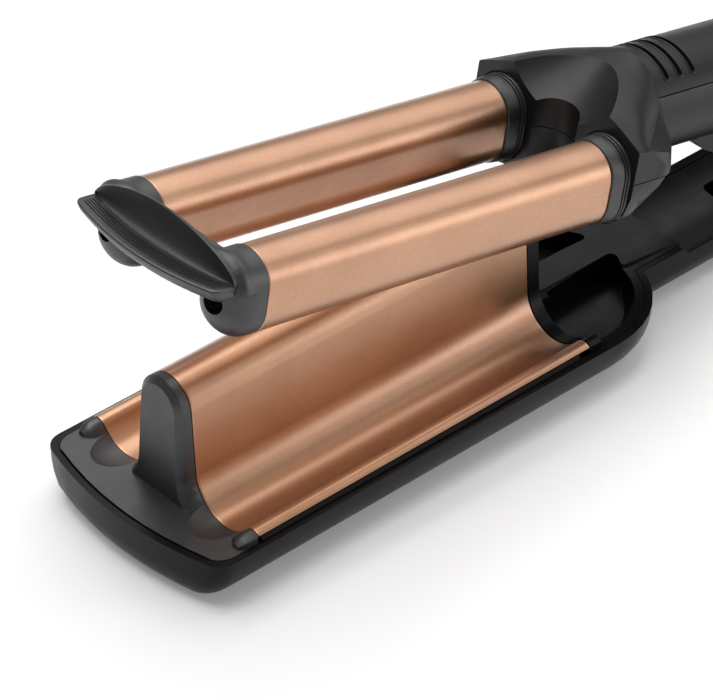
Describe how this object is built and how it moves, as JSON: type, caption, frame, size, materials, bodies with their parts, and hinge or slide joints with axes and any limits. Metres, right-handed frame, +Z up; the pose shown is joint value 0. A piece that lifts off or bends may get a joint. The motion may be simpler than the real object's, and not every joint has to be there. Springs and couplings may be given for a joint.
{
  "type": "deep waver hair styler",
  "caption": "Hot hair styler with oval barrels on a spring-opened arm that close into the valleys of a ridged plate on the lower arm.",
  "frame": {"origin": "under the middle of the open tool, on the plane it lies on", "axes": "+X from the tip to the hinge, +Y to the far barrel, +Z up"},
  "size_m": [0.3382, 0.072, 0.1019],
  "materials": {
    "copper_coating": "satin metallic rose-gold coating",
    "black_shell": "smooth black, semi gloss",
    "satin_trim": "fine satin grain",
    "steel": "plain",
    "alloy": "as extruded",
    "ceramic": "matt white ceramic",
    "liner_resin": "heatproof resin",
    "board": "circuit board",
    "light_window": "frosted clear",
    "gland_rubber": "matt"
  },
  "bodies": {
    "lower_arm": {"lower_housing": "black_shell", "handle_cover": "black_shell", "wave_plate": "copper_coating", "plate_liner": "liner_resin", "front_insert": "satin_trim", "rear_insert": "black_shell", "plate_heater_near": "ceramic", "plate_heater_far": "ceramic", "thermostat": "alloy", "screw_nose": "steel", "screw_basin": "steel", "screw_grip_front": "steel", "screw_grip_rear": "steel", "hinge_pin": "steel", "hinge_bush_near": "alloy", "hinge_bush_far": "alloy", "hinge_cap_near": "black_shell", "hinge_cap_far": "black_shell", "opening_spring": "steel"},
    "upper_arm": {"barrel_near": "copper_coating", "barrel_core_near": "alloy", "barrel_heater_near": "ceramic", "collar_near": "satin_trim", "tip_screw_near": "steel", "barrel_far": "copper_coating", "barrel_core_far": "alloy", "barrel_heater_far": "ceramic", "collar_far": "satin_trim", "tip_screw_far": "steel", "tip_bridge": "satin_trim", "fork_top": "black_shell", "fork_bottom": "black_shell", "handle_top": "black_shell", "handle_bottom": "black_shell", "control_board": "board", "light_window_1": "light_window", "light_window_2": "light_window", "light_window_3": "light_window"},
    "power_button": {"power_button": "satin_trim"},
    "minus_button": {"minus_button": "satin_trim"},
    "plus_button": {"plus_button": "satin_trim"},
    "lock_slider": {"lock_slider": "satin_trim"},
    "cord_gland": {"cord_gland": "gland_rubber"}
  },
  "joints": [
    {"name": "arm_hinge", "type": "hinge", "parent": "lower_arm", "child": "upper_arm", "pos_m": [0.1471, 0, 0.017], "axis": [0, 1, 0], "range_deg": [-11.25, 0], "stiffness_Nm_per_rad": 1.2, "springref_deg": 34.38},
    {"name": "power_button_press", "type": "slide", "parent": "upper_arm", "child": "power_button", "axis": [-0.1951, 0, -0.9808], "range_m": [0, 0.0008], "stiffness_N_per_m": 1000, "springref_m": -0.0003},
    {"name": "minus_button_press", "type": "slide", "parent": "upper_arm", "child": "minus_button", "axis": [-0.1951, 0, -0.9808], "range_m": [0, 0.0008], "stiffness_N_per_m": 1000, "springref_m": -0.0003},
    {"name": "plus_button_press", "type": "slide", "parent": "upper_arm", "child": "plus_button", "axis": [-0.1951, 0, -0.9808], "range_m": [0, 0.0008], "stiffness_N_per_m": 1000, "springref_m": -0.0003},
    {"name": "lock_slide", "type": "slide", "parent": "lower_arm", "child": "lock_slider", "axis": [-1, 0, 0], "range_m": [0, 0.0028]},
    {"name": "gland_swivel", "type": "hinge", "parent": "lower_arm", "child": "cord_gland", "pos_m": [0.1591, 0, 0.0084], "axis": [1, 0, 0], "continuous": true}
  ]
}
